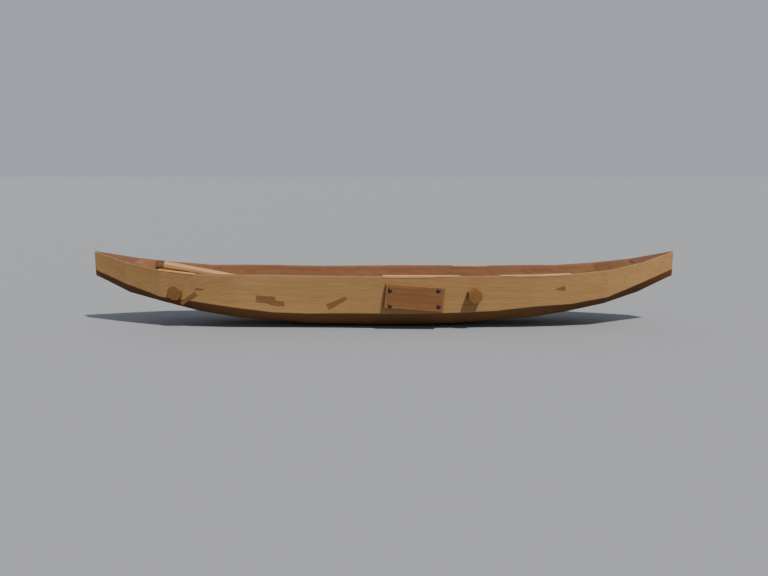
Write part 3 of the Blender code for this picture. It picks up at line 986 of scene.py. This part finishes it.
def makeNails():
    board = wholeBlock("repair_patch")
    basis, _ = frontPlace(board)
    board.free()
    outwards = Vector(basis.col[2][:3])
    front = basis.translation
    spots, radius, height = [], 0.0, 0.0
    for nodeName in nails["nodes"]:
        points = pointsOf(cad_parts[nodeName].data)
        reach = (points - np.array(front)) @ np.array(outwards)
        head = points[reach > 0.0]
        middle = Vector((head.min(axis=0) + head.max(axis=0)) / 2)
        spots.append(middle - outwards * (middle - front).dot(outwards))
        height = max(height, float(reach.max()))
        radius = max(radius, max((Vector(p) - spots[-1]).length for p in head))
    shape = makeNailHead(nails["widthShare"] * radius, nails["heightShare"] * height)
    seats = addMesh("nail_heads", spots, [])
    material = ironMaterial()
    applyNodes(seats, *makeNailTree(), {
        "Head": shape, "Facing": outwards, "Tilt": nails["tilt"], "Seed": nails["seed"], "Finish": material})
    bpy.data.objects.remove(shape)
    keep(seats, material, "nail_iron", *nails["nodes"])


makeNails()

# The push pole and its knob

pole = {
    "sides": 48, "spacing": 0.012, "wearReach": 0.008, "flats": 8, "arris": 0.012, "seed": 5,
    "knots": 7, "knotRise": 0.0012, "knotReach": 0.011, "knotRadius": 0.03, "knotEnds": (0.05, 0.95),
    "roughDepth": 0.0003, "roughAlong": 9.0, "roughAround": 2.0,
    "look": {"colour": (0.41, 0.226, 0.086), "worn": (0.52, 0.34, 0.18), "pith": (0.004, 0.006),
             "ringSpacing": 0.006, "ringTone": 0.20, "checks": 0.5, "checkLength": 0.16, "checkSpread": 0.45,
             "wear": 0.55, "dust": 0.1, "roughness": 0.49, "bump": 0.5, "sheen": 0.3},
}
knob = {
    "soften": 0.0030, "spacing": 0.004, "wearReach": 0.004, "roughDepth": 0.0008, "roughScale": 45.0,
    # painted shade for the knob's top: its colour, and the upward share of a face's normal that takes all of
    # it
    "seed": 31.0, "grimeFacing": 0.6,
    "look": {"colour": (0.180, 0.083, 0.027), "worn": (0.24, 0.12, 0.05), "grime": (0.58, 0.50, 0.38),
             "ringWobble": 0.01, "checkLength": 0.2, "checkSpread": 0.63, "wear": 0.4, "dust": 0.0,
             "roughness": 0.54, "bump": 0.5},
}


def poleAxis():
    # the line through the pole, from its knob end to its foot
    points = pointsOf(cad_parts["push_pole"].data)
    middle = points.mean(axis=0)
    _, _, axes = np.linalg.svd(points - middle)
    axis = axes[0] if axes[0][0] > 0 else -axes[0]
    return middle, axis


def outerProfile(nodeName, middle, axis):
    # the outside of a turned solid along the axis, without its thin tenon, which doesn't show
    points = pointsOf(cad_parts[nodeName].data) - middle
    heights = points @ axis
    radii = np.linalg.norm(points - np.outer(heights, axis), axis=1)
    profile = {}
    for height, radius in zip(np.round(heights, 4), radii):
        profile[height] = max(profile.get(height, 0.0), radius)
    widest = max(profile.values())
    return sorted((height, radius) for height, radius in profile.items() if radius > 0.5 * widest)


def turnOnAxis(name, profile, settings, middle, axis, shape):
    # a closed turned form with even rings, whose surface shape(angle, run, radius) works
    heights, radii = np.array(profile).T
    even = np.arange(heights[0], heights[-1], settings["spacing"])
    runs = np.unique(np.concatenate([heights, even]).round(5))
    toWorld = Vector(axis).to_track_quat("X", "Z").to_matrix()
    sides = settings["sides"]
    local = [(runs[0], 0.0, 0.0)]
    for run in runs:
        radius = float(np.interp(run, heights, radii))
        for k in range(sides):
            angle = 2 * math.pi * k / sides
            worked = shape(angle, run, radius)
            local.append((run, worked * math.cos(angle), worked * math.sin(angle)))
    local.append((runs[-1], 0.0, 0.0))
    points = [Vector(middle) + toWorld @ Vector(point) for point in local]
    obj = addMesh(name, points, turnedFaces(len(runs), sides))
    faceOutwards(obj)
    along = np.array(local)[:, 0]
    ends = np.clip(np.minimum(along - runs[0], runs[-1] - along), 0.0, None)
    store(obj, grainSpace=local, edge=np.exp(-ends / settings["wearReach"]))
    return obj


def makePole():
    middle, axis = poleAxis()
    profile = outerProfile("push_pole", middle, axis)
    seat = profile[0][0]
    reach = profile[-1][0] - seat
    rng = random.Random(pole["seed"])
    knots = [(seat + reach * rng.uniform(*pole["knotEnds"]), rng.uniform(0.0, 2 * math.pi))
             for _ in range(pole["knots"])]
    sector = 2 * math.pi / pole["flats"]

    def whittled(angle, run, radius):
        # eight flats with worn arrises, and a few knots that the knife left standing
        flat = radius * math.cos(sector / 2) / math.cos(wrapped(angle, sector))
        surface = min(flat, radius * (1 - pole["arris"]))
        around = [math.cos(angle) * pole["roughAround"], math.sin(angle) * pole["roughAround"]]
        rough = pole["roughDepth"] * (1 + noise.noise(Vector((run * pole["roughAlong"], *around))))
        rise = 0.0
        for spot, turn in knots:
            gap = math.hypot(run - spot, pole["knotRadius"] * wrapped(angle - turn))
            rise = max(rise, pole["knotRise"] * math.exp(-(gap / pole["knotReach"]) ** 2))
        return surface - rough + min(rise, radius - surface + rough)

    obj = turnOnAxis("whittled_pole", profile, pole, middle, axis, whittled)
    keep(obj, woodMaterial("poleWood", pole["look"]), "pale_wood", "push_pole")


def makeKnob():
    low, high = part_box("pole_knob")
    middle = (low + high) / 2
    obj = finishForm("worn_knob", wholeBlock("pole_knob"), knob, middle, worldAxes)
    # painted shade: the knob's upward faces are darkened, so that its top looks no brighter than its sides
    grime = np.clip(normalsOf(obj.data)[:, 2] / knob["grimeFacing"], 0.0, 1.0)
    store(obj, grainSpace=pointsOf(obj.data) - np.array(middle), grime=grime)
    roughen(obj, knob, knob["seed"])
    keep(obj, woodMaterial("knobWood", knob["look"]), "dark_wood", "pole_knob")


makePole()
makeKnob()

# Floor, light and camera

studio = {
    "floorColour": (0.235, 0.240, 0.258), "floorTones": (0.98, 1.02), "floorRoughness": 0.85,
    "floorSize": 300.0, "mottle": (3.0, 4.0),
    # lights: name, the way the light travels, strength, spread in degrees, colour
    "lights": [
        ("keyLight", (-0.397, 0.52, -1.0), 5.1, 3.0, (1.0, 0.96, 0.90)),
        ("fillLight", (0.5, -0.7, -0.6), 0.25, 40.0, (0.9, 0.95, 1.0)),
    ],
    "skyColour": (0.78, 0.85, 0.95), "skyStrength": 0.50,
    "sensor": 36.0, "lens": 37.08, "elevation": 8.485, "distance": 6.897, "aimHeight": 0.2995,
}


def makeFloor():
    half = studio["floorSize"] / 2
    corners = [(-half, -half, 0.0), (half, -half, 0.0), (half, half, 0.0), (-half, half, 0.0)]
    floor = addMesh("studioFloor", corners, [(0, 1, 2, 3)])
    material, tree, shader = newMaterial("studioFloorPaint")
    mottle = cloud(place("ShaderNodeTexCoord", tree=tree)["Object"], *studio["mottle"])
    base = mixColour(mottle, *[rgba(studio["floorColour"], tone) for tone in studio["floorTones"]])
    feed(shader["Base Color"], base)
    feed(shader["Roughness"], studio["floorRoughness"])
    floor.data.materials.append(material)


def addSun(name, travel, strength, spread, colour):
    light = bpy.data.lights.new(name, "SUN")
    light.energy = strength
    light.angle = math.radians(spread)
    light.color = colour
    addObject(name, light).rotation_euler = Vector(travel).to_track_quat("-Z", "Y").to_euler()


def makeSky():
    world = bpy.data.worlds.new("studioSky")
    world.use_nodes = True
    background = world.node_tree.nodes["Background"].inputs
    feed(background["Color"], rgba(studio["skyColour"]))
    feed(background["Strength"], studio["skyStrength"])
    bpy.context.scene.world = world


def makeCamera():
    camera = bpy.data.cameras.new("photoCamera")
    camera.sensor_width = studio["sensor"]
    camera.lens = studio["lens"]
    tilt = math.radians(studio["elevation"])
    back = studio["distance"]
    obj = addObject("photoCamera", camera)
    obj.location = (0.0, -back * math.cos(tilt), studio["aimHeight"] + back * math.sin(tilt))
    obj.rotation_euler = (math.pi / 2 - tilt, 0.0, 0.0)
    bpy.context.scene.camera = obj


makeFloor()
for sun in studio["lights"]:
    addSun(*sun)
makeSky()
makeCamera()
print("studio ready")
